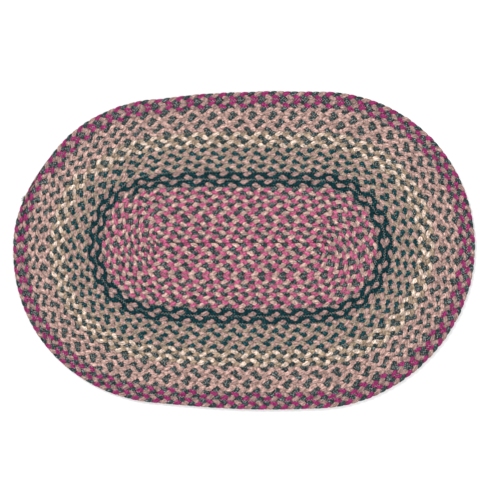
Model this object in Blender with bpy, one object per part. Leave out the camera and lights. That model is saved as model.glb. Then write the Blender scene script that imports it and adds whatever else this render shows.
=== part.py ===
"""An oval braided rug: one flat three-strand braid, coiled edge to edge and sewn into a mat.

One solid. The braid's section is swept round the coil, each turn is welded to the turn inside it
as the sewing joins them, the outer edge is rounded down to the floor and the underside lies flat.
X runs along the rug, Y across it, Z up, and the underside lies at Z = 0.
"""

import bisect
import math

import bmesh
import bpy

# ---------------------------------------------------------------- driving dimensions, in metres
BRAID_THICK = 0.0084  # the braid laid flat, floor to the top of its rows
GROOVE_HEIGHT = 0.0058  # floor to the seam between two rows
SHOULDER = 0.27  # share of a row's width from its seam to its flat top
EDGE_BULGE = 0.0005  # how far the outer edge swells past the last seam line
EDGE_BULGE_HEIGHT = 0.0034  # height of the widest line of the outer edge
EDGE_TUCK = 0.0018  # how far the edge rounds in under itself at the floor
CROWN_AT = 0.4  # share of a full row's width from which a thinned braid has its full height
WELD = 2e-6  # points closer than this are one: neighbouring turns share their seam
SLIVER = 1e-6  # edges shorter than this go

CORE_LEFT = -0.1445  # left end of the fold that the coil starts from
CORE_RIGHT = 0.1261  # right end of it, where the braid begins
CORE_Y = 0.0126  # the fold lies a little off the rug's middle
ROUND_END = 0.785  # length of the outer row round one end, for easing the pitches

# The coil grows clockwise seen from above. WAY counts once round in four parts: 0 to 1 along the
# lower straight rows to the left, 1 to 2 round the left end, 2 to 3 along the upper straight rows
# to the right, 3 to 4 round the right end, where each turn steps out by one row.
RING_ROWS = 5  # rows in each ring of the table of widths
FULL_TURNS = 19  # whole turns of braid before the last part turn
TAIL_FROM, TAIL_TO = 1.50, 1.74  # way of the last turn over which the braid's end thins out
STEPS_STRAIGHT, STEPS_END = 8, 24  # steps of the sweep along a straight part and round an end

# way, then the width of a row in each ring of five rows, counted out from the fold, in millimetres
ROW_WIDTHS = (
    (0.00, 13.6, 12.8, 14.1, 14.1),
    (0.25, 13.8, 13.2, 14.0, 14.0),
    (0.50, 13.7, 13.1, 14.0, 14.0),
    (0.75, 13.5, 13.1, 13.6, 13.8),
    (1.00, 12.7, 13.0, 13.3, 13.8),
    (1.25, 11.5, 12.8, 13.1, 12.6),
    (1.50, 10.7, 12.0, 12.5, 12.0),
    (1.65, 10.8, 11.8, 12.2, 12.3),
    (1.80, 11.9, 12.0, 11.9, 12.4),
    (2.00, 13.0, 12.2, 12.4, 12.2),
    (2.25, 13.3, 12.8, 12.9, 12.4),
    (2.50, 13.1, 12.9, 13.3, 12.9),
    (2.75, 13.0, 13.0, 13.4, 13.2),
    (3.00, 12.9, 12.9, 13.2, 13.4),
    (3.25, 12.3, 13.0, 13.7, 13.3),
    (3.50, 12.2, 13.0, 13.8, 13.2),
    (3.75, 13.1, 12.6, 13.8, 13.3),
)
STEPS_TURN = 2 * (STEPS_STRAIGHT + STEPS_END)


def round_rim(way):
    """Distance along the outer row at this way, so that widths ease evenly past the ends."""
    straight = CORE_RIGHT - CORE_LEFT
    lengths = (straight, ROUND_END, straight, ROUND_END)
    part = min(int(way), 3)
    return sum(lengths[:part]) + (way - part) * lengths[part]


RIM_LENGTH = round_rim(4.0)
RIM_AT = [round_rim(row[0]) for row in ROW_WIDTHS]


def row_width(way, column):
    """Width of a row of one ring, eased along the table with the slopes of its neighbours."""
    n = len(ROW_WIDTHS)
    s = round_rim(way % 4.0)
    i = bisect.bisect_right(RIM_AT, s) - 1

    def knot(j):
        return RIM_AT[j % n] + RIM_LENGTH * (j // n), ROW_WIDTHS[j % n][column] * 1e-3

    (s0, w0), (s1, w1), (s2, w2), (s3, w3) = (knot(j) for j in range(i - 1, i + 3))
    gap = s2 - s1
    t = (s - s1) / gap
    slope1, slope2 = (w2 - w0) / (s2 - s0) * gap, (w3 - w1) / (s3 - s1) * gap
    return (
        (2 * t**3 - 3 * t**2 + 1) * w1
        + (t**3 - 2 * t**2 + t) * slope1
        + (3 * t**2 - 2 * t**3) * w2
        + (t**3 - t**2) * slope2
    )


def on_coil(way, rows):
    """Place in plan of the line that lies this many rows out from the fold, at this way."""
    if way <= 1.0:
        x, turn = CORE_RIGHT + (CORE_LEFT - CORE_RIGHT) * way, 0.0
    elif way <= 2.0:
        x, turn = CORE_LEFT, way - 1.0
    elif way <= 3.0:
        x, turn = CORE_LEFT + (CORE_RIGHT - CORE_LEFT) * (way - 2.0), 1.0
    else:
        x, turn = CORE_RIGHT, way - 2.0
    angle = -math.pi / 2 - math.pi * turn
    reach = 0.0
    for column in range(1, len(ROW_WIDTHS[0])):
        within = rows - RING_ROWS * (column - 1)
        reach += row_width(way, column) * min(max(within, 0.0), RING_ROWS)
    return x + reach * math.cos(angle), CORE_Y + reach * math.sin(angle)


def way_of(step):
    """Way round the coil at a step within one turn."""
    i = step % STEPS_TURN
    for part, count in enumerate((STEPS_STRAIGHT, STEPS_END) * 2):
        if i < count:
            return part + i / count
        i -= count
    return 0.0


def step_out(way):
    """How far a turn has stepped out by this way: only round the right end."""
    return max(way - 3.0, 0.0)


def tail_share(turn, way):
    """Width of the braid as a share of its row: it thins to nothing at the end of the last turn."""
    if turn < FULL_TURNS or way <= TAIL_FROM:
        return 1.0
    t = min((way - TAIL_FROM) / (TAIL_TO - TAIL_FROM), 1.0)
    return 1.0 - t * t * (3 - 2 * t)


def section(step):
    """The braid's section at a step: inner seam, two shoulders of its flat top, outer seam."""
    turn, way = step // STEPS_TURN, way_of(step)
    if turn == FULL_TURNS and way > TAIL_TO:
        way = TAIL_TO
    grown = turn + step_out(way)
    thin = tail_share(turn, way)
    # The braid begins at the fold's right end, where its first row has no width yet.
    inner, outer = max(grown, 0.0), max(grown + thin, 0.0)
    lines = [inner + (outer - inner) * share for share in (0.0, SHOULDER, 1 - SHOULDER, 1.0)]
    crown = GROOVE_HEIGHT + (BRAID_THICK - GROOVE_HEIGHT) * min(1.0, (outer - inner) / CROWN_AT)
    heights = (GROOVE_HEIGHT, crown, crown, GROOVE_HEIGHT)
    return [(*on_coil(way, rows), z) for rows, z in zip(lines, heights)]


def sweep_braid(bm):
    """Sweeps the section along the whole coil by extruding it step by step."""
    first = -STEPS_END
    last = FULL_TURNS * STEPS_TURN + next(
        i for i in range(STEPS_TURN) if way_of(i) >= TAIL_TO
    )
    verts = [bm.verts.new(p) for p in section(first)]
    edges = [bm.edges.new(pair) for pair in zip(verts, verts[1:])]
    for step in range(first + 1, last + 1):
        grown = bmesh.ops.extrude_edge_only(bm, edges=edges)["geom"]
        edges = [g for g in grown if isinstance(g, bmesh.types.BMEdge)]
        ahead = {v for e in edges for v in e.verts}
        places = dict(zip(verts, section(step)))
        follow = {}
        for v in ahead:
            behind = next(e.other_vert(v) for e in v.link_edges if e.other_vert(v) in places)
            follow[behind] = v
        verts = [follow[v] for v in verts]
        for v, place in zip(verts, places.values()):
            v.co = place
        edges = [bm.edges.get(pair) for pair in zip(verts, verts[1:])]


def rim_loop(bm):
    """The open outer edge's vertices in order."""
    open_edges = [e for e in bm.edges if e.is_boundary]
    start = open_edges[0].verts[0]
    loop, seen, here = [start], {start}, start
    while True:
        ahead = [
            e.other_vert(here)
            for e in here.link_edges
            if e.is_boundary and e.other_vert(here) not in seen
        ]
        if not ahead:
            return loop
        here = ahead[0]
        seen.add(here)
        loop.append(here)


def drop_rim(bm, out, height):
    """Extrudes the open edge and sets the new edge this far out in plan, at this height."""
    loop = rim_loop(bm)
    turned = sum(a.co.x * b.co.y - b.co.x * a.co.y for a, b in zip(loop, loop[1:] + loop[:1]))
    side = 1.0 if turned > 0 else -1.0
    targets = {}
    for i, v in enumerate(loop):
        along = loop[(i + 1) % len(loop)].co - loop[i - 1].co
        along.z = 0.0
        along.normalize()
        targets[v] = (v.co.x + side * out * along.y, v.co.y - side * out * along.x, height)
    grown = bmesh.ops.extrude_edge_only(bm, edges=[e for e in bm.edges if e.is_boundary])
    for v in [g for g in grown["geom"] if isinstance(g, bmesh.types.BMVert)]:
        behind = next(e.other_vert(v) for e in v.link_edges if e.other_vert(v) in targets)
        v.co = targets[behind]


def yarn_finish():
    """Soft dull wool-like yarn in the rug's overall shade."""
    mat = bpy.data.materials.new("braid_yarn")
    mat.use_nodes = True
    shader = mat.node_tree.nodes["Principled BSDF"]
    shader.inputs["Base Color"].default_value = (0.30, 0.20, 0.19, 1.0)
    shader.inputs["Roughness"].default_value = 0.95
    return mat


def braided_rug():
    """The whole rug: one braid, coiled, sewn row to row, edged and laid flat."""
    bm = bmesh.new()
    sweep_braid(bm)
    bmesh.ops.remove_doubles(bm, verts=bm.verts, dist=WELD)
    bmesh.ops.dissolve_degenerate(bm, edges=bm.edges, dist=SLIVER)
    drop_rim(bm, EDGE_BULGE, EDGE_BULGE_HEIGHT)
    drop_rim(bm, -EDGE_TUCK, 0.0)
    bmesh.ops.holes_fill(bm, edges=[e for e in bm.edges if e.is_boundary], sides=0)
    bmesh.ops.triangulate(bm, faces=bm.faces)
    bmesh.ops.recalc_face_normals(bm, faces=bm.faces)
    mesh = bpy.data.meshes.new("braided_rug")
    bm.to_mesh(mesh)
    bm.free()
    mesh.materials.append(yarn_finish())
    return bpy.data.objects.new("braided_rug", mesh)


def main():
    for old in list(bpy.data.objects):
        bpy.data.objects.remove(old, do_unlink=True)
    group = bpy.data.collections.new("Braided rug")
    bpy.context.scene.collection.children.link(group)
    group.objects.link(braided_rug())


main()
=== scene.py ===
"""Dresses the oval braided rug: the strands of its coiled braid, its sewing, its yarns and a studio."""

import logging
import math
from dataclasses import dataclass, field
from enum import Enum

import bpy
import numpy as np
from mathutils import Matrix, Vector


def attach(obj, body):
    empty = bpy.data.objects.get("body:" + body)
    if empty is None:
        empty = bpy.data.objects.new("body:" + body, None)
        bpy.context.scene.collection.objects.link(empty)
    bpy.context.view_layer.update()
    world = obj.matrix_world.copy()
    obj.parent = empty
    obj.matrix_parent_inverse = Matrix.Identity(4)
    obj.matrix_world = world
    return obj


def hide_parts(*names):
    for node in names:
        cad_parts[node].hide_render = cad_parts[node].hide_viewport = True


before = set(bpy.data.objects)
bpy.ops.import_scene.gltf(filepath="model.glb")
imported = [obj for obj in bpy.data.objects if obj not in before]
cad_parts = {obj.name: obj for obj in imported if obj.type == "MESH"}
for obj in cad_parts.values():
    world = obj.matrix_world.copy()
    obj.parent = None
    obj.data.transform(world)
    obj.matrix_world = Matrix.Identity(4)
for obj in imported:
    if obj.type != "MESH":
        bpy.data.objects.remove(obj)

RUG_NODE = "braided_rug"
TAU = 2 * math.pi
STRANDS = 3  # strands in the braid
log = logging.getLogger("braided_rug")


def deselect_all() -> None:
    """Leaves nothing selected, so that the next operator acts on the new piece alone."""
    for obj in bpy.context.selected_objects:
        obj.select_set(False)


def smooth_step(t: np.ndarray) -> np.ndarray:
    """Eases 0 to 1 with level ends."""
    t = np.clip(t, 0.0, 1.0)
    return t * t * (3 - 2 * t)


@dataclass(frozen=True)
class Sway:
    """Slow seeded unevenness of handwork along the braid."""

    seed: int
    spacing: float
    amount: float
    knots: int = 4096  # numbers drawn, after which the sway repeats itself

    def at(self, along: np.ndarray) -> np.ndarray:
        """Value of the sway.

        Args:
            along: distances along the braid, in the units of spacing.

        Returns:
            Numbers that stray up to about amount either side of zero.
        """
        drawn = np.random.default_rng(self.seed).uniform(-1.0, 1.0, self.knots)
        place = np.abs(along) / self.spacing
        low = np.floor(place).astype(int)
        ease = smooth_step(place - low)
        before, after = drawn[low % self.knots], drawn[(low + 1) % self.knots]
        return self.amount * (before * (1 - ease) + after * ease)


# ---------------------------------------------------------------------------------------- the coil
@dataclass(frozen=True)
class Coil:
    """The path of the braid: clockwise from a fold in the middle, one row further out each turn.

    A way from 0 to 4 goes once round: along the lower rows to the left, round the left end, along
    the upper rows to the right, and round the right end, where a turn steps out by one row.
    """

    core_left: float = -0.1445  # left end of the fold that the coil starts from
    core_right: float = 0.1261  # right end of it, where the braid begins
    core_y: float = 0.0126  # the fold lies a little off the rug's middle
    round_end: float = 0.785  # length of the outer row round one end, for easing the widths
    rings: int = 4  # rings of rows in the table of widths
    ring_rows: int = 5  # rows in each of them
    full_turns: int = 19  # whole turns of braid before the last part turn
    tail_from: float = 1.50  # ways of the last turn over which the braid's end thins out
    tail_to: float = 1.74
    # way, then the width of a row in each ring of five rows, counted out from the fold, in millimetres
    row_widths: tuple = (
        (0.00, 13.6, 12.8, 14.1, 14.1),
        (0.25, 13.8, 13.2, 14.0, 14.0),
        (0.50, 13.7, 13.1, 14.0, 14.0),
        (0.75, 13.5, 13.1, 13.6, 13.8),
        (1.00, 12.7, 13.0, 13.3, 13.8),
        (1.25, 11.5, 12.8, 13.1, 12.6),
        (1.50, 10.7, 12.0, 12.5, 12.0),
        (1.65, 10.8, 11.8, 12.2, 12.3),
        (1.80, 11.9, 12.0, 11.9, 12.4),
        (2.00, 13.0, 12.2, 12.4, 12.2),
        (2.25, 13.3, 12.8, 12.9, 12.4),
        (2.50, 13.1, 12.9, 13.3, 12.9),
        (2.75, 13.0, 13.0, 13.4, 13.2),
        (3.00, 12.9, 12.9, 13.2, 13.4),
        (3.25, 12.3, 13.0, 13.7, 13.3),
        (3.50, 12.2, 13.0, 13.8, 13.2),
        (3.75, 13.1, 12.6, 13.8, 13.3),
    )

    def round_rim(self, way: np.ndarray) -> np.ndarray:
        """Distance along the outer row, so that widths ease evenly past the ends.

        Args:
            way: places round the coil, from 0 to 4.

        Returns:
            The distances in metres.
        """
        straight = self.core_right - self.core_left
        lengths = np.cumsum([0.0, straight, self.round_end, straight, self.round_end])
        return np.interp(way, np.arange(5.0), lengths)

    def row_width(self, way: np.ndarray, column: int) -> np.ndarray:
        """Width of a row, eased between the table's rows with the slopes of their neighbours.

        Args:
            way: places round the coil, from 0 to 4.
            column: 1 for the innermost ring of rows, up to 4 for the outermost.

        Returns:
            The widths in metres.
        """
        table = np.array(self.row_widths)
        rim = float(self.round_rim(np.array(4.0)))
        ends = [self.round_rim(table[:, 0]) + rim * lap for lap in (-1, 0, 1)]
        at, width = np.concatenate(ends), np.tile(table[:, column] * 1e-3, 3)
        s = self.round_rim(np.mod(way, 4.0))
        i = np.searchsorted(at, s, side="right") - 1
        gap = at[i + 1] - at[i]
        t = (s - at[i]) / gap
        before = (width[i + 1] - width[i - 1]) / (at[i + 1] - at[i - 1]) * gap
        after = (width[i + 2] - width[i]) / (at[i + 2] - at[i]) * gap
        return (
            (2 * t**3 - 3 * t**2 + 1) * width[i]
            + (t**3 - 2 * t**2 + t) * before
            + (3 * t**2 - 2 * t**3) * width[i + 1]
            + (t**3 - t**2) * after
        )

    def place(self, way: np.ndarray, rows: np.ndarray) -> np.ndarray:
        """Places in plan of points that lie this many rows out from the fold.

        Args:
            way: places round the coil, from 0 to 4.
            rows: rows out from the fold.

        Returns:
            One X, Y pair for each point.
        """
        fold = [self.core_right, self.core_left, self.core_left, self.core_right, self.core_right]
        x = np.interp(way, np.arange(5.0), fold)
        half_turns = np.interp(way, np.arange(5.0), [0.5, 0.5, 1.5, 1.5, 2.5])
        angle = -half_turns * math.pi
        reach = np.zeros(np.shape(rows))
        for column in range(1, self.rings + 1):
            within = rows - self.ring_rows * (column - 1)
            reach = reach + self.row_width(way, column) * np.clip(within, 0.0, self.ring_rows)
        return np.stack([x + reach * np.cos(angle), self.core_y + reach * np.sin(angle)], -1)

    def width_of(self, lap: np.ndarray) -> np.ndarray:
        """Width of the braid's own row.

        Args:
            lap: turns and parts of a turn made since the start.

        Returns:
            The widths in metres.
        """
        way, rows = 4 * np.mod(lap, 1.0), np.maximum(lap, 0.0)
        widths = [self.row_width(way, column) for column in range(1, self.rings + 1)]
        within = [rows < self.ring_rows * column for column in range(1, self.rings)]
        return np.select(within, widths[:-1], widths[-1])

    def thinning(self, lap: np.ndarray) -> np.ndarray:
        """Share of its row that the braid fills: its end thins out along the outer edge.

        Args:
            lap: turns made since the start.

        Returns:
            The shares, from 1 down to 0.
        """
        start = self.full_turns + self.tail_from / 4
        end = self.full_turns + self.tail_to / 4
        return 1.0 - smooth_step((lap - start) / (end - start))

    def on_row(self, lap: np.ndarray, across: np.ndarray) -> np.ndarray:
        """Places in plan of points of the braid.

        Args:
            lap: turns made since the start.
            across: place across the braid, from -0.5 at its inner edge to 0.5 at its outer one.

        Returns:
            One X, Y pair for each point.
        """
        way, turn = 4 * np.mod(lap, 1.0), np.floor(lap)
        stepped = np.maximum(way - 3.0, 0.0)
        thin = self.thinning(lap)
        rows = turn + stepped + (0.5 + across) * thin
        return self.place(way, np.maximum(rows, 0.0))


class Yarn(Enum):
    """The yarns that the strands are made of."""

    PEACH = "peach"
    ROSE = "rose"
    SAGE = "sage"
    TEAL = "teal"
    DEEP_TEAL = "deep teal"
    DUSTY = "dusty"
    BLUSH = "blush"
    TAN = "tan"
    CREAM = "cream"
    OLIVE = "olive"
    MAGENTA = "magenta"


@dataclass(frozen=True)
class ColourBand:
    """A stretch of the coil in which the three strands keep their yarns.

    A round is the length of braid in which a strand crosses to the far edge and comes back.
    """

    name: str
    start: float  # laps from the start of the coil
    end: float
    yarns: tuple  # one for each strand, in the order in which they come out to the outer edge
    side_rounds: float  # rounds along one long side of the rug


BANDS = (
    ColourBand("core", -0.12, 7.46, (Yarn.PEACH, Yarn.ROSE, Yarn.SAGE), 7.85),
    ColourBand("dark_ring", 7.46, 9.45, (Yarn.DEEP_TEAL, Yarn.DUSTY, Yarn.DEEP_TEAL), 6.93),
    ColourBand("teal_field", 9.45, 12.44, (Yarn.TAN, Yarn.BLUSH, Yarn.TEAL), 7.70),
    ColourBand("cream_ring", 12.44, 14.43, (Yarn.CREAM, Yarn.OLIVE, Yarn.SAGE), 7.85),
    ColourBand("sage_field", 14.43, 17.42, (Yarn.PEACH, Yarn.BLUSH, Yarn.SAGE), 8.15),
    ColourBand("border", 17.42, 19.43, (Yarn.DUSTY, Yarn.MAGENTA, Yarn.SAGE), 7.70),
)

# Rounds of each turn at the left end and at the right end, from the fold outwards.
END_ROUNDS = (
    (1.2, 1.8),
    (2.3, 3.0),
    (3.2, 3.8),
    (4.1, 4.7),
    (4.9, 6.6),
    (6.8, 7.5),
    (7.6, 8.4),
    (8.5, 7.9),
    (8.1, 9.3),
    (9.1, 11.1),
    (12.4, 13.0),
    (13.4, 13.5),
    (15.1, 15.1),
    (15.9, 16.3),
    (16.5, 17.6),
    (18.4, 20.0),
    (20.1, 21.0),
    (21.1, 20.4),
    (20.7, 21.7),
    (22.0, 22.0),
)


@dataclass
class BraidPath:
    """The coil measured along the braid: its laps, lengths and rounds of the strands."""

    coil: Coil
    bands: tuple
    end_rounds: tuple
    first_round: float = -6.30  # rounds at the fold's right end
    samples_lap: int = 800  # places measured in one lap
    past_end: float = 0.5  # laps walked past the last whole turn

    def __post_init__(self) -> None:
        """Walks the middle of the braid once and keeps how far it is to each place."""
        first, last = self.bands[0].start, self.coil.full_turns + self.past_end
        count = int((last - first) * self.samples_lap)
        self.lap = np.linspace(first, last, count)
        middle = self.coil.on_row(self.lap, np.zeros(count))
        step = np.linalg.norm(np.diff(middle, axis=0), axis=1)
        self.run = np.concatenate([[0.0], np.cumsum(step)])
        marks, rounds = [0.0], [self.first_round]
        for turn, (left, right) in enumerate(self.end_rounds):
            for part, added in enumerate((None, left, None, right)):
                side = self.band_at(turn + part / 4).side_rounds
                marks.append(turn + (part + 1) / 4)
                rounds.append(rounds[-1] + (side if added is None else added))
        inside = [mark <= last for mark in marks]
        run_marks = np.interp(np.array(marks)[inside], self.lap, self.run)
        self.rounds = np.interp(self.run, run_marks, np.array(rounds)[inside])
        before = self.lap < 0.0
        pace = (rounds[1] - rounds[0]) / (run_marks[1] - run_marks[0])
        self.rounds[before] = rounds[0] - (run_marks[0] - self.run[before]) * pace

    def band_at(self, lap: float) -> ColourBand:
        """The band of colour at this lap."""
        return next((band for band in self.bands if lap < band.end), self.bands[-1])

    def lap_at(self, rounds: np.ndarray) -> np.ndarray:
        """Laps at these rounds."""
        return np.interp(rounds, self.rounds, self.lap)

    def rounds_at(self, lap: np.ndarray) -> np.ndarray:
        """Rounds at these laps."""
        return np.interp(lap, self.lap, self.rounds)

    def run_at(self, rounds: np.ndarray) -> np.ndarray:
        """Length of braid in metres up to these rounds."""
        return np.interp(rounds, self.rounds, self.run)


# ---------------------------------------------------------------------------------------- finishes
def add_node(tree: bpy.types.NodeTree, kind: str, x: float, y: float, **settings) -> bpy.types.Node:
    """Adds a shader node.

    Args:
        tree: the material's or group's node tree.
        kind: the node's type name.
        x: its column in the editor, in steps of 180 units.
        y: its row, in steps of 160 units.
        settings: properties to set on it.

    Returns:
        The new node.
    """
    node = tree.nodes.new(kind)
    node.location = (180 * x, 160 * y)
    for name, value in settings.items():
        setattr(node, name, value)
    return node


def wire(tree: bpy.types.NodeTree, source: object, target: bpy.types.NodeSocket) -> None:
    """Links a socket to another, or sets the other where the source is a plain value.

    Args:
        tree: the node tree.
        source: an output socket or a value.
        target: the input socket.
    """
    if isinstance(source, bpy.types.NodeSocket):
        tree.links.new(source, target)
    else:
        target.default_value = source


def math_node(
    tree: bpy.types.NodeTree, operation: str, x: float, y: float, *values: object
) -> bpy.types.NodeSocket:
    """Adds a Math node with its inputs linked or set.

    Args:
        tree: the node tree.
        operation: what the node works out.
        x: its column in the editor.
        y: its row.
        values: sockets or numbers for its inputs, in order.

    Returns:
        The node's output.
    """
    node = add_node(tree, "ShaderNodeMath", x, y, operation=operation)
    for value, socket in zip(values, node.inputs):
        wire(tree, value, socket)
    return node.outputs[0]


@dataclass(frozen=True)
class SpunYarnGroup:
    """Shader node group of soft spun yarn: plies, fibres, flecks, uneven dye and painted shade in
    grooves and recesses.
    """

    name: str = "spun yarn"
    plies: float = 8.0  # yarns round the strand
    lay: float = 150.0  # turns of the yarns in a metre of strand, times their number
    plumpness: float = 0.8  # power of a ply's round: under 1 it is fuller
    ply_light: float = 0.55  # how much more light a ply's crown takes than the groove beside it
    fibres: tuple = (420.0, 3.2)  # streaks of fibre in a metre of yarn, and side by side on a ply
    fibre_light: float = 2.5  # how strongly the streaks stand out
    fibre_dark: float = -0.90  # light of a streak where its noise is 0
    fibre_height: float = 0.7  # height of the streaks, where a ply's is 1
    patches: tuple = (240.0, 1.0)  # paler and darker lengths, in the same way
    patch_swing: float = 4.0  # how strongly they differ, for an unevenness of 1
    darkest: float = 0.6  # share of its dye's brightness that a darker length keeps
    hairs: tuple = (430.0, 1.7)  # pale hairs, painted partly as highlights on the fuzz, in the same way
    hair_bar: float = 0.72  # noise over which a hair shows, for a fleck share of 0
    hair_gain: float = 0.32  # how much less noise it takes, for a fleck share of 1
    hair_edge: float = 4.5  # how sharply a hair ends
    smoothest: float = 0.78  # roughness of the smoothest fibre
    rougher: float = 0.2  # how much rougher the roughest is
    braid_middle: float = 0.0042  # half the braid's thickness
    crown: float = 0.0024  # distance from the middle at which the yarn lies open to the light and no shade is painted on it
    recess: float = 0.0004  # distance from the middle at which it lies deepest and its painted shade is darkest

    def grain(
        self,
        tree: bpy.types.NodeTree,
        row: float,
        run: tuple,
        many: tuple,
        seed: object,
        detail: float,
    ) -> bpy.types.NodeSocket:
        """Adds noise that follows the yarn.

        Args:
            tree: the group's node tree.
            row: row of its nodes in the editor.
            run: the place along the yarn and the place across its plies.
            many: how many grains there are in a metre of yarn, and side by side on a ply.
            seed: what sets it apart from another yarn's.
            detail: layers of finer noise in it.

        Returns:
            The noise.
        """
        place = add_node(tree, "ShaderNodeCombineXYZ", -2, row)
        for index, (value, count) in enumerate(zip(run, many)):
            scaled = math_node(tree, "MULTIPLY", -3, row - index / 2, value, count)
            wire(tree, scaled, place.inputs[index])
        wire(tree, seed, place.inputs[2])
        noise = add_node(tree, "ShaderNodeTexNoise", -1, row)
        noise.inputs["Scale"].default_value = 1.0
        noise.inputs["Detail"].default_value = detail
        wire(tree, place.outputs[0], noise.inputs["Vector"])
        return noise.outputs["Fac"]

    def build(self) -> bpy.types.NodeTree:
        """Builds the group once.

        Returns:
            The node tree, with its colour, roughness and height outputs.
        """
        tree = bpy.data.node_groups.new(self.name, "ShaderNodeTree")
        for name, kind, value in (
            ("Run", "NodeSocketVector", None),
            ("Place", "NodeSocketVector", None),
            ("Yarn", "NodeSocketColor", (0.5, 0.5, 0.5, 1)),
            # painted shade: the yarn's colour where shade falls in grooves and recesses
            ("Depth", "NodeSocketColor", (0.1, 0.1, 0.1, 1)),
            # pale flecks, painted partly as highlights on the fuzz
            ("Fleck", "NodeSocketColor", (0.8, 0.8, 0.8, 1)),
            ("Fleck Share", "NodeSocketFloat", 0.1),
            ("Unevenness", "NodeSocketFloat", 0.2),
            ("Seed", "NodeSocketFloat", 0.0),
        ):
            socket = tree.interface.new_socket(name, in_out="INPUT", socket_type=kind)
            if value is not None:
                socket.default_value = value
        for name, kind in (
            ("Colour", "NodeSocketColor"),
            ("Roughness", "NodeSocketFloat"),
            ("Height", "NodeSocketFloat"),
        ):
            tree.interface.new_socket(name, in_out="OUTPUT", socket_type=kind)
        given = add_node(tree, "NodeGroupInput", -6, 0).outputs
        result = add_node(tree, "NodeGroupOutput", 8, 0).inputs
        split = add_node(tree, "ShaderNodeSeparateXYZ", -5, 1)
        wire(tree, given["Run"], split.inputs[0])
        along, around = split.outputs[0], split.outputs[1]

        turned = math_node(tree, "MULTIPLY", -4, 1, along, self.lay)
        ply = math_node(tree, "MULTIPLY_ADD", -3, 1, around, self.plies, turned)
        wave = math_node(tree, "SINE", -1, 1, math_node(tree, "MULTIPLY", -2, 1, ply, math.pi))
        round_ply = math_node(tree, "ABSOLUTE", 0, 1, wave)
        plump = math_node(tree, "POWER", 1, 1, round_ply, self.plumpness)

        run, seed = (along, ply), given["Seed"]
        fibre = self.grain(tree, -1, run, self.fibres, 0.0, 2.0)
        cloud = self.grain(tree, -3, run, self.patches, seed, 1.0)
        fluff = self.grain(tree, -5, run, self.hairs, seed, 1.0)
        share = given["Fleck Share"]
        bar = math_node(tree, "MULTIPLY_ADD", 0, -6, share, -self.hair_gain, self.hair_bar)
        above = math_node(tree, "SUBTRACT", 1, -5, fluff, bar)
        flecked = add_node(tree, "ShaderNodeClamp", 3, -5)
        wire(tree, math_node(tree, "MULTIPLY", 2, -5, above, self.hair_edge), flecked.inputs[0])

        # Painted shade: the nearer the yarn lies to the braid's middle, in the crossings and recesses,
        # the more its colour turns to the painted shade colour.
        level = add_node(tree, "ShaderNodeSeparateXYZ", -5, 4)
        wire(tree, given["Place"], level.inputs[0])
        off = math_node(tree, "SUBTRACT", -4, 4, level.outputs[2], self.braid_middle)
        painted_light_share = add_node(tree, "ShaderNodeMapRange", -2, 4, interpolation_type="SMOOTHSTEP")
        wire(tree, math_node(tree, "ABSOLUTE", -3, 4, off), painted_light_share.inputs["Value"])
        painted_light_share.inputs["From Min"].default_value = self.recess
        painted_light_share.inputs["From Max"].default_value = self.crown

        # Painted light and shade: ply crowns and fibre streaks lighter, the grooves between them
        # darker, mixed from the painted shade colour to the yarn's own.
        streaks = math_node(tree, "MULTIPLY_ADD", 1, -1, fibre, self.fibre_light, self.fibre_dark)
        lit = math_node(tree, "MULTIPLY_ADD", 2, 0, plump, self.ply_light, streaks)
        lit_only = add_node(tree, "ShaderNodeClamp", 3, 0)
        wire(tree, lit, lit_only.inputs[0])
        painted_light = math_node(tree, "MULTIPLY", 4, 1, lit_only.outputs[0], painted_light_share.outputs[0])
        shaded_yarn = add_node(tree, "ShaderNodeMix", 5, 0, data_type="RGBA")
        wire(tree, painted_light, shaded_yarn.inputs["Factor"])
        wire(tree, given["Depth"], shaded_yarn.inputs[6])
        wire(tree, given["Yarn"], shaded_yarn.inputs[7])

        even = math_node(tree, "SUBTRACT", 1, -3, cloud, 0.5)
        swing = math_node(tree, "MULTIPLY", 2, -3, given["Unevenness"], self.patch_swing)
        uneven = math_node(tree, "MULTIPLY_ADD", 3, -3, even, swing, 1.0)
        bright = math_node(tree, "MAXIMUM", 4, -3, uneven, self.darkest)
        # The uneven dye scales a colour that already holds the painted shade.
        dyed_and_shaded = add_node(tree, "ShaderNodeVectorMath", 6, -1, operation="SCALE")
        wire(tree, shaded_yarn.outputs[2], dyed_and_shaded.inputs[0])
        wire(tree, bright, dyed_and_shaded.inputs["Scale"])
        fleck_and_highlight = add_node(tree, "ShaderNodeMix", 7, -3, data_type="RGBA")
        # The pale flecks, partly painted highlights, stay hidden where shade is painted.
        fleck_in_painted_light = math_node(tree, "MULTIPLY", 4, -5, flecked.outputs[0], painted_light_share.outputs[0])
        wire(tree, fleck_in_painted_light, fleck_and_highlight.inputs["Factor"])
        wire(tree, dyed_and_shaded.outputs[0], fleck_and_highlight.inputs[6])
        wire(tree, given["Fleck"], fleck_and_highlight.inputs[7])
        wire(tree, fleck_and_highlight.outputs[2], result["Colour"])

        rough = math_node(tree, "MULTIPLY_ADD", 4, 2, fibre, self.rougher, self.smoothest)
        wire(tree, rough, result["Roughness"])
        height = math_node(tree, "MULTIPLY_ADD", 4, 3, fibre, self.fibre_height, plump)
        wire(tree, height, result["Height"])
        return tree


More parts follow.
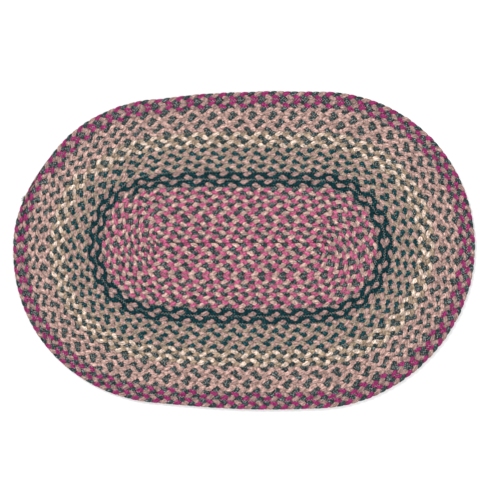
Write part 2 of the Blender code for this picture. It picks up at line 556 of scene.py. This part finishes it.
@dataclass(frozen=True)
class YarnFinish:
    """Soft dull yarn of one dye, with paler fibre flecks that are partly painted highlights, and
    painted shade.
    """

    slot: str
    shade: tuple  # colour of the yarn in the light
    painted_shade: tuple  # painted shade: its colour where shade is painted in the grooves and recesses
    fleck_and_highlight: tuple  # colour of its pale hairs, which are painted partly as highlights on the fuzz
    fleck_share: float = 0.15  # how much of it they cover, from 0 to 1
    unevenness: float = 0.8  # how much its paler and darker lengths differ
    sheen: float = 0.08
    sheen_roughness: float = 0.6
    specular: float = 0.1
    bump: float = 0.7
    bump_depth: float = 0.0006  # height of a ply over its grooves, in metres
    seed_spread: float = 10.0  # sets the noises of two yarns apart by the difference of their shades

    def material(self, name: str, group: bpy.types.NodeTree) -> bpy.types.Material:
        """Makes the yarn's material.

        Args:
            name: the material's name.
            group: the spun yarn node group.

        Returns:
            A material whose pattern follows the strand's own run.
        """
        made = bpy.data.materials.new(name)
        made.use_nodes = True
        tree = made.node_tree
        shader = tree.nodes["Principled BSDF"]
        shader.inputs["Sheen Weight"].default_value = self.sheen
        shader.inputs["Sheen Roughness"].default_value = self.sheen_roughness
        shader.inputs["Specular IOR Level"].default_value = self.specular
        run = add_node(tree, "ShaderNodeUVMap", -5, 2, uv_map=StrandPiece.RUN_MAP)
        place = add_node(tree, "ShaderNodeTexCoord", -5, 0)
        yarn = add_node(tree, "ShaderNodeGroup", -3, 2, node_tree=group)
        wire(tree, run.outputs[0], yarn.inputs["Run"])
        wire(tree, place.outputs["Object"], yarn.inputs["Place"])
        for socket, value in (
            ("Yarn", (*self.shade, 1.0)),
            # the painted shade colour for grooves and recesses
            ("Depth", (*self.painted_shade, 1.0)),
            # pale flecks, painted partly as highlights on the fuzz
            ("Fleck", (*self.fleck_and_highlight, 1.0)),
            ("Fleck Share", self.fleck_share),
            ("Unevenness", self.unevenness),
            ("Seed", self.seed_spread * sum(self.shade)),
        ):
            yarn.inputs[socket].default_value = value
        bump = add_node(tree, "ShaderNodeBump", -1.5, 0)
        bump.inputs["Strength"].default_value = self.bump
        bump.inputs["Distance"].default_value = self.bump_depth
        wire(tree, yarn.outputs["Height"], bump.inputs["Height"])
        wire(tree, bump.outputs[0], shader.inputs["Normal"])
        wire(tree, yarn.outputs["Colour"], shader.inputs["Base Color"])
        wire(tree, yarn.outputs["Roughness"], shader.inputs["Roughness"])
        return made


# Each finish gives the yarn's colour, a painted shade colour for its grooves and recesses, and the
# colour of its pale flecks, which are partly painted highlights.
FINISHES = {
    Yarn.PEACH: YarnFinish(
        "peach_yarn", (0.62, 0.40, 0.352), (0.21, 0.11, 0.09), (0.76, 0.58, 0.50)
    ),
    Yarn.ROSE: YarnFinish(
        "rose_yarn", (0.53, 0.115, 0.228), (0.17, 0.028, 0.06), (0.64, 0.32, 0.42)
    ),
    Yarn.SAGE: YarnFinish(
        "sage_yarn", (0.030, 0.053, 0.055), (0.002, 0.005, 0.005), (0.46, 0.53, 0.51), 0.45, sheen=0.03
    ),
    Yarn.TEAL: YarnFinish(
        "teal_yarn", (0.003, 0.054, 0.064), (0.001, 0.003, 0.004), (0.24, 0.44, 0.46), 0.32, sheen=0.02
    ),
    Yarn.DEEP_TEAL: YarnFinish(
        "teal_yarn", (0.0008, 0.034, 0.042), (0.001, 0.002, 0.003), (0.16, 0.34, 0.35), 0.3, sheen=0.01
    ),
    Yarn.DUSTY: YarnFinish(
        "dusty_yarn", (0.42, 0.26, 0.24), (0.14, 0.08, 0.065), (0.55, 0.41, 0.38)
    ),
    Yarn.BLUSH: YarnFinish(
        "dusty_yarn", (0.51, 0.33, 0.29), (0.17, 0.09, 0.075), (0.64, 0.47, 0.42)
    ),
    Yarn.TAN: YarnFinish(
        "tan_yarn", (0.39, 0.295, 0.225), (0.13, 0.08, 0.06), (0.50, 0.40, 0.32)
    ),
    Yarn.CREAM: YarnFinish(
        "cream_yarn", (0.77, 0.60, 0.495), (0.27, 0.18, 0.13), (0.88, 0.76, 0.64)
    ),
    Yarn.OLIVE: YarnFinish(
        "tan_yarn", (0.41, 0.30, 0.215), (0.12, 0.08, 0.05), (0.50, 0.40, 0.31)
    ),
    Yarn.MAGENTA: YarnFinish(
        "magenta_yarn", (0.33, 0.028, 0.146), (0.09, 0.006, 0.033), (0.60, 0.24, 0.40)
    ),
}
# The thread's second colour is painted shade for its grooves and recesses.
SEWING_THREAD = YarnFinish(
    "cream_yarn", (0.66, 0.63, 0.58), (0.36, 0.34, 0.31), (0.70, 0.70, 0.70), 0.0
)


# ---------------------------------------------------------------------------------------- the braid
@dataclass
class StrandPiece:
    """A tube of yarn modelled straight and then laid in its place in the coil."""

    RUN_MAP = "yarn_run"
    BAKE_MAP = "OFBake"

    name: str
    rings: int
    sides: int
    step: float = 0.0025  # length of one ring of the straight tube
    radius: float = 0.003  # its radius before it is laid
    weld: float = 1e-5  # points closer than this are one
    bake_rows: int = 12  # rows into which the map for kept colours folds the tube
    bake_margin: float = 0.04  # share of such a row that stays empty at either side

    def straight_tube(self) -> bpy.types.Object:
        """Models the straight tube: a circle extruded one step, arrayed and closed.

        Returns:
            The tube along +X from the origin, with one ring of vertices at each step.
        """
        deselect_all()
        bpy.ops.mesh.primitive_circle_add(
            vertices=self.sides, radius=self.radius, rotation=(0.0, math.pi / 2, 0.0)
        )
        tube = bpy.context.object
        tube.name = tube.data.name = self.name
        bpy.ops.object.transform_apply(location=True, rotation=True, scale=True)
        bpy.ops.object.mode_set(mode="EDIT")
        bpy.ops.mesh.select_all(action="SELECT")
        bpy.ops.mesh.extrude_region_move(TRANSFORM_OT_translate={"value": (self.step, 0.0, 0.0)})
        bpy.ops.object.mode_set(mode="OBJECT")
        array = tube.modifiers.new("length", "ARRAY")
        array.count = self.rings - 1
        array.use_relative_offset = False
        array.use_constant_offset = True
        array.constant_offset_displace = (self.step, 0.0, 0.0)
        array.use_merge_vertices = True
        array.merge_threshold = self.weld
        bpy.ops.object.modifier_apply(modifier=array.name)
        bpy.ops.object.mode_set(mode="EDIT")
        bpy.ops.mesh.select_all(action="SELECT")
        bpy.ops.mesh.fill_holes(sides=self.sides)
        bpy.ops.mesh.select_all(action="SELECT")
        bpy.ops.mesh.normals_make_consistent(inside=False)
        bpy.ops.object.mode_set(mode="OBJECT")
        return tube

    def rings_and_sides(self, mesh: bpy.types.Mesh) -> tuple:
        """Which ring and which side of the straight tube each vertex belongs to.

        Args:
            mesh: the straight tube's mesh.

        Returns:
            Two arrays of whole numbers, in vertex order. Side 0 is at the tube's underside.
        """
        places = np.empty(len(mesh.vertices) * 3)
        mesh.vertices.foreach_get("co", places)
        x, y, z = places.reshape(-1, 3).T
        ring = np.rint(x / self.step).astype(int)
        angle = np.arctan2(z, y) + math.pi / 2
        return ring, np.rint(angle / TAU * self.sides).astype(int) % self.sides

    def add_maps(
        self, mesh: bpy.types.Mesh, ring: np.ndarray, side: np.ndarray, run: np.ndarray
    ) -> None:
        """Adds the yarn's own map and the map that its colours are kept on.

        Args:
            mesh: the piece's mesh.
            ring: each vertex's ring.
            side: each vertex's side.
            run: length of strand in metres up to each ring.
        """
        vertex = np.empty(len(mesh.loops), int)
        mesh.loops.foreach_get("vertex_index", vertex)
        first = np.empty(len(mesh.polygons), int)
        count = np.empty(len(mesh.polygons), int)
        mesh.polygons.foreach_get("loop_start", first)
        mesh.polygons.foreach_get("loop_total", count)
        face = np.repeat(np.arange(len(first)), count)
        corner_ring, corner_side = ring[vertex], side[vertex]
        highest = np.maximum.reduceat(corner_side, first)[face]
        quad = (count == 4)[face]
        wrapped = quad & (highest == self.sides - 1) & (corner_side == 0)
        around = (corner_side + self.sides * wrapped) / self.sides
        layer = mesh.uv_layers.new(name=self.RUN_MAP)
        layer.data.foreach_set("uv", np.stack([run[corner_ring], around], 1).ravel())
        per_row = math.ceil((self.rings - 1) / self.bake_rows)
        lowest = np.minimum.reduceat(corner_ring, first)[face]
        row = np.minimum(lowest // per_row, self.bake_rows - 1)
        u = (corner_ring - row * per_row) / per_row
        filled = 1 - 2 * self.bake_margin
        v = (row + self.bake_margin + filled * around) / self.bake_rows
        baked = mesh.uv_layers.new(name=self.BAKE_MAP)
        baked.data.foreach_set("uv", np.stack([u, v], 1).ravel())
        mesh.uv_layers.active = mesh.uv_layers[self.RUN_MAP]


@dataclass
class Braid:
    """The shape that the three strands take in the flat braid."""

    path: BraidPath
    swing: float = 0.238  # how far a strand swings either side of the middle, in row widths
    dwell: float = 0.10  # how much flatter its swing is at the edges than an even wave
    half_width: float = 0.32  # half a strand's width across the row, in row widths
    half_thick: float = 0.00266  # half a strand's thickness, in metres
    rise: float = 0.00154  # how far it rises and dips at the crossings, in metres
    lag: float = 0.74  # how late it comes up after the middle, in radians
    squareness: float = 0.74  # power of the section's curve: 1 is an ellipse, 0 a box
    slimmest: float = 0.35  # share of its thickness that is left where the braid's end thins out
    lowest_at: float = 0.43  # part of a round at which a strand is lowest
    lean: float = 0.15  # rounds by which a place a row width off the braid's middle lies later
    # Unevenness of handwork: its spacing in rounds, and its amount.
    uneven_pace: tuple = (0.9, 0.16)
    uneven_swing: tuple = (0.5, 0.09)
    uneven_width: tuple = (0.37, 0.08)
    uneven_rise: tuple = (0.5, 0.12)

    def course(self, band: ColourBand, index: int, rounds: np.ndarray) -> tuple:
        """Where a strand runs.

        Args:
            band: the band of colour.
            index: 0 to 2, in the order in which the strands come out to the outer edge.
            rounds: places along the braid, in rounds.

        Returns:
            The strand's middle and half its width, in row widths, and its height in metres over
            or under the braid's middle.
        """
        seed = 100 * BANDS.index(band) + 10 * index  # each strand of each band has its own
        theta = TAU * (rounds - index / STRANDS) + Sway(seed, *self.uneven_pace).at(rounds)
        swing = self.swing * (1 + Sway(seed + 1, *self.uneven_swing).at(rounds))
        half_width = self.half_width * (1 + Sway(seed + 2, *self.uneven_width).at(rounds))
        rise = self.rise * (1 + Sway(seed + 3, *self.uneven_rise).at(rounds))
        middle = swing * (np.sin(theta) + self.dwell * np.sin(3 * theta))
        return middle, half_width, rise * np.sin(2 * theta - self.lag)

    def slim(self, lap: np.ndarray) -> np.ndarray:
        """Share of its full thickness that the braid has at these laps."""
        return self.slimmest + (1 - self.slimmest) * self.path.coil.thinning(lap)

    def height(self, over: np.ndarray, lap: np.ndarray) -> np.ndarray:
        """Height over the floor of places that are so far over the braid's middle."""
        return np.maximum(self.rise + self.half_thick + self.slim(lap) * over, 0.0)

    def top(self, lap: np.ndarray, across: np.ndarray) -> np.ndarray:
        """Height of the yarn that lies uppermost.

        Args:
            lap: turns made since the start.
            across: place across the braid, and under -0.5 on the row inside it.

        Returns:
            The heights in metres.
        """
        inside = (across < -0.5) & (lap > 1.0)
        own_lap, own_across = lap - inside, across + inside
        rounds = self.path.rounds_at(own_lap) - self.lean * np.abs(own_across)
        highest = np.full(np.shape(lap), -self.half_thick)
        for band in BANDS:
            here = (own_lap >= band.start) & (own_lap < band.end)
            for index in range(STRANDS):
                middle, half_width, level = self.course(band, index, rounds[here])
                off = np.minimum(np.abs(own_across[here] - middle) / half_width, 1.0)
                round_off = (1 - off ** (2 / self.squareness)) ** (self.squareness / 2)
                over = np.where(off < 1, level + self.half_thick * round_off, -self.half_thick)
                highest[here] = np.maximum(highest[here], over)
        return self.height(highest, own_lap)


@dataclass
class Strand:
    """One strand of the braid through one band of colour."""

    braid: Braid
    band: ColourBand
    index: int
    rings_round: int = 20  # rings of vertices in one round
    sides: int = 10  # vertices in a ring
    crowding: float = 0.35  # how much closer its vertices lie on the upper side than below

    def crossing_near(self, lap: float) -> float:
        """The place nearest a lap where this strand lies underneath, in rounds."""
        shift = self.index / STRANDS + self.braid.lowest_at
        return round((float(self.braid.path.rounds_at(lap)) - shift) * 2) / 2 + shift

    def build(self) -> bpy.types.Object:
        """Models the strand and lays it in the coil.

        Returns:
            The finished strand, closed at both ends.
        """
        path, braid = self.braid.path, self.braid
        start, end = self.crossing_near(self.band.start), self.crossing_near(self.band.end)
        rings = int(round((end - start) * self.rings_round)) + 1
        piece = StrandPiece(f"strand_{self.band.name}_{self.index + 1}", rings, self.sides)
        tube = piece.straight_tube()
        mesh = tube.data
        ring, side = piece.rings_and_sides(mesh)
        rounds = np.linspace(start, end, rings)
        turned = TAU * side / self.sides
        turned = turned + self.crowding * np.sin(turned)
        cos, sin = np.cos(turned), np.sin(turned)
        middle, half_width, level = braid.course(self.band, self.index, rounds[ring])
        across = middle + half_width * np.sign(sin) * np.abs(sin) ** braid.squareness
        over = level - braid.half_thick * np.sign(cos) * np.abs(cos) ** braid.squareness
        piece.add_maps(mesh, ring, side, path.run_at(rounds))
        lap = path.lap_at(rounds[ring] + braid.lean * np.abs(across))
        plan = path.coil.on_row(lap, across)
        mesh.vertices.foreach_set("co", np.column_stack([plan, braid.height(over, lap)]).ravel())
        mesh.update()
        mesh.shade_smooth()
        return tube


@dataclass
class Stitching:
    """The pale zigzag thread that sews each row to the one inside it."""

    braid: Braid
    start: float  # laps from the start of the coil
    end: float
    name: str
    sides: int = 3
    reach: float = 0.0016  # how far the zigzag reaches either side of the seam
    advance: float = 0.0023  # length of seam from one point of the zigzag to the next
    radius: float = 0.00020  # half the thread's thickness

    def build(self) -> bpy.types.Object:
        """Models the thread and lays it over the seam, on the yarns that it holds.

        Returns:
            The finished thread.
        """
        path = self.braid.path
        first, last = np.interp([self.start, self.end], path.lap, path.run)
        rings = int((last - first) / self.advance)
        piece = StrandPiece(self.name, rings, self.sides)
        thread = piece.straight_tube()
        mesh = thread.data
        ring, side = piece.rings_and_sides(mesh)
        run = np.linspace(first, last, rings)
        lap = np.interp(run, path.run, path.lap)
        width = path.coil.width_of(lap)
        swing = np.where(np.arange(rings) % 2, 1.0, -1.0) * self.reach
        lying = self.braid.top(lap, -0.5 + swing / width)
        turned = TAU * side / self.sides
        # A mitred corner is as much longer than the thread is thick as its two legs are close.
        corner = math.hypot(2 * self.reach, self.advance) / self.advance * self.radius
        point = swing[ring] + corner * np.sin(turned)
        plan = path.coil.on_row(lap[ring], -0.5 + point / width[ring])
        piece.add_maps(mesh, ring, side, run)
        height = lying[ring] - self.radius * np.cos(turned)
        mesh.vertices.foreach_set("co", np.column_stack([plan, height]).ravel())
        mesh.update()
        mesh.shade_smooth()
        return thread


@dataclass
class FrayedEnd:
    """Loose hairs that stand out from the edge where the last of the braid thins away."""

    braid: Braid
    lap: float = 19.4003  # laps from the start of the coil
    hairs: int = 32
    length: float = 0.0056
    radius: float = 0.00030
    root_across: float = 0.30  # place of their roots across the thinned braid
    root_spread: float = 0.0012  # laps over which the roots are spread
    root_height: float = 0.0066  # height of the roots over the floor
    heading: float = 0.5  # angle in radians from straight out to the way that the braid runs
    fan: float = 0.7  # how far the hairs spread to either side of it
    curl: float = 0.8  # how far a hair turns on its way
    uneven_length: float = 0.25  # a hair is shorter than the longest by up to twice this share
    lift: float = 0.0016  # a hair rises by up to twice this, in metres
    droop: float = 0.0022  # how far its tip then falls
    taper: float = 0.7  # share of its radius that it loses towards the tip
    rings: int = 7
    sides: int = 4
    seed: int = 12

    def hair(self, number: int, dice: np.random.Generator) -> bpy.types.Object:
        """Models one hair that curls outwards from its root.

        Args:
            number: its number in the tuft.
            dice: the tuft's seeded numbers.

        Returns:
            The finished hair.
        """
        piece = StrandPiece(f"hair_{number}", self.rings, self.sides)
        tube = piece.straight_tube()
        mesh = tube.data
        ring, side = piece.rings_and_sides(mesh)
        spread, turn, curl, lift, reach = dice.uniform(-1.0, 1.0, 5)
        lap = self.lap + self.root_spread * spread
        across = np.array([self.root_across, 1.0])
        root, beyond = self.braid.path.coil.on_row(np.full(2, lap), across)
        out = (beyond - root) / np.linalg.norm(beyond - root)
        share = np.arange(self.rings) / (self.rings - 1)
        heading = self.heading + self.fan * turn + self.curl * curl * share
        length = self.length * (1 - self.uneven_length + self.uneven_length * reach)
        step = length / (self.rings - 1)
        ahead = np.array([out[1], -out[0]])
        legs = np.outer(np.cos(heading), out) + np.outer(np.sin(heading), ahead)
        line = root + np.cumsum(legs, axis=0) * step
        height = self.root_height + self.lift * (1 + lift) * share - self.droop * share**2
        radius = self.radius * (1 - self.taper * share)
        turned = TAU * side / self.sides
        normal = np.stack([-legs[:, 1], legs[:, 0]], 1)
        plan = line[ring] + normal[ring] * (radius[ring] * np.sin(turned))[:, None]
        piece.add_maps(mesh, ring, side, share * self.length)
        baked = np.empty(len(mesh.loops) * 2)
        mesh.uv_layers[piece.BAKE_MAP].data.foreach_get("uv", baked)
        baked[1::2] = (number + baked[1::2]) / self.hairs
        mesh.uv_layers[piece.BAKE_MAP].data.foreach_set("uv", baked)
        upright = height[ring] - radius[ring] * np.cos(turned)
        mesh.vertices.foreach_set("co", np.column_stack([plan, upright]).ravel())
        mesh.update()
        mesh.shade_smooth()
        return tube

    def build(self) -> bpy.types.Object:
        """Models the tuft.

        Returns:
            All its hairs as one piece.
        """
        dice = np.random.default_rng(self.seed)
        tuft = [self.hair(number, dice) for number in range(self.hairs)]
        deselect_all()
        for hair in tuft:
            hair.select_set(True)
        bpy.context.view_layer.objects.active = tuft[0]
        bpy.ops.object.join()
        made = bpy.context.object
        made.name = made.data.name = "frayed_end"
        return made


@dataclass
class Rug:
    """The whole rug: three strands in each band of colour, the stitching and the frayed tuft."""

    coil: Coil = field(default_factory=Coil)
    sewn_from: float = 0.05  # laps from the start of the coil at which the stitching begins

    def attach(self, piece: bpy.types.Object, made: bpy.types.Material) -> None:
        """Dresses a piece and ties it to the solid that it stands for.

        Args:
            piece: the finished piece.
            made: that finish's material.
        """
        piece.data.materials.clear()
        piece.data.materials.append(made)
        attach(piece, "root")
        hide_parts(RUG_NODE)
        log.info("%s: %d faces", piece.name, len(piece.data.polygons))

    def build(self) -> list:
        """Builds every strand, the stitching and the frayed tuft.

        Returns:
            The finished pieces.
        """
        braid = Braid(BraidPath(self.coil, BANDS, END_ROUNDS))
        group = SpunYarnGroup().build()
        dyes = {yarn: look.material(f"{yarn.value} yarn", group) for yarn, look in FINISHES.items()}
        pieces = []
        for band in BANDS:
            for index, yarn in enumerate(band.yarns):
                piece = Strand(braid, band, index).build()
                self.attach(piece, dyes[yarn])
                pieces.append(piece)
        thread_look = SEWING_THREAD.material("sewing thread", group)
        for band in BANDS:
            start = max(band.start, self.sewn_from)
            end = min(band.end, self.coil.full_turns + self.coil.tail_from / 4)
            thread = Stitching(braid, start, end, f"stitching_{band.name}").build()
            self.attach(thread, thread_look)
            pieces.append(thread)
        tuft = FrayedEnd(braid).build()
        self.attach(tuft, dyes[Yarn.SAGE])
        pieces.append(tuft)
        return pieces


# ---------------------------------------------------------------------------------------- the studio
@dataclass(frozen=True)
class Lamp:
    """A soft square lamp that faces the rug."""

    name: str
    place: tuple
    size: float  # its side in metres
    watts: float

    def build(self) -> None:
        """Hangs the lamp in its place."""
        data = bpy.data.lights.new(self.name, "AREA")
        data.size, data.energy = self.size, self.watts
        lamp = bpy.data.objects.new(self.name, data)
        bpy.context.scene.collection.objects.link(lamp)
        lamp.location = self.place
        lamp.rotation_euler = (-Vector(self.place)).to_track_quat("-Z", "Y").to_euler()


@dataclass
class Studio:
    """Plain pale floor, soft light from above, and the camera straight above the rug."""

    floor_size: float = 9.0
    floor_drop: float = 0.0004  # how far it lies under the rug, so that the two don't touch
    floor_shade: float = 0.97
    floor_roughness: float = 0.9
    daylight: float = 0.80  # strength of the even light from all round
    lamps: tuple = (
        Lamp("key lamp", (-1.6, 1.7, 2.4), 1.4, 60.0),
        Lamp("fill lamp", (1.9, -1.2, 2.2), 1.8, 30.0),
    )
    lens: float = 100.0
    sensor: float = 36.0
    frame_width: float = 0.8265  # width of floor that the picture shows
    aim_x: float = 0.0099  # the place over which the camera hangs
    aim_y: float = 0.0008

    def floor(self) -> None:
        """Lays the pale floor just under the rug."""
        deselect_all()
        under = (0.0, 0.0, -self.floor_drop)
        bpy.ops.mesh.primitive_plane_add(size=self.floor_size, location=under)
        plane = bpy.context.object
        plane.name = "studio_floor"
        pale = bpy.data.materials.new("pale floor")
        pale.use_nodes = True
        shader = pale.node_tree.nodes["Principled BSDF"]
        shader.inputs["Base Color"].default_value = (*[self.floor_shade] * 3, 1.0)
        shader.inputs["Roughness"].default_value = self.floor_roughness
        plane.data.materials.append(pale)

    def world(self) -> None:
        """Lights the rug evenly from all round."""
        world = bpy.data.worlds.new("studio")
        world.use_nodes = True
        background = world.node_tree.nodes["Background"]
        background.inputs["Color"].default_value = (1.0, 1.0, 1.0, 1.0)
        background.inputs["Strength"].default_value = self.daylight
        bpy.context.scene.world = world

    def camera(self) -> None:
        """Hangs the camera straight above the rug, at the height that gives the picture's width."""
        data = bpy.data.cameras.new("camera")
        data.lens, data.sensor_width = self.lens, self.sensor
        camera = bpy.data.objects.new("camera", data)
        height = self.frame_width / 2 / math.tan(math.atan(self.sensor / 2 / self.lens))
        camera.location = (self.aim_x, self.aim_y, height)
        bpy.context.scene.collection.objects.link(camera)
        bpy.context.scene.camera = camera

    def build(self) -> None:
        """Sets up floor, world, lamps and camera."""
        self.floor()
        self.world()
        for lamp in self.lamps:
            lamp.build()
        bpy.context.scene.view_settings.view_transform = "Standard"
        self.camera()


def main() -> None:
    """Builds the rug and the studio."""
    logging.basicConfig(level=logging.INFO, format="%(name)s: %(message)s")
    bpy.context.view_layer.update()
    pieces = Rug().build()
    log.info("%d pieces", len(pieces))
    Studio().build()


if __name__ == "__main__":
    main()
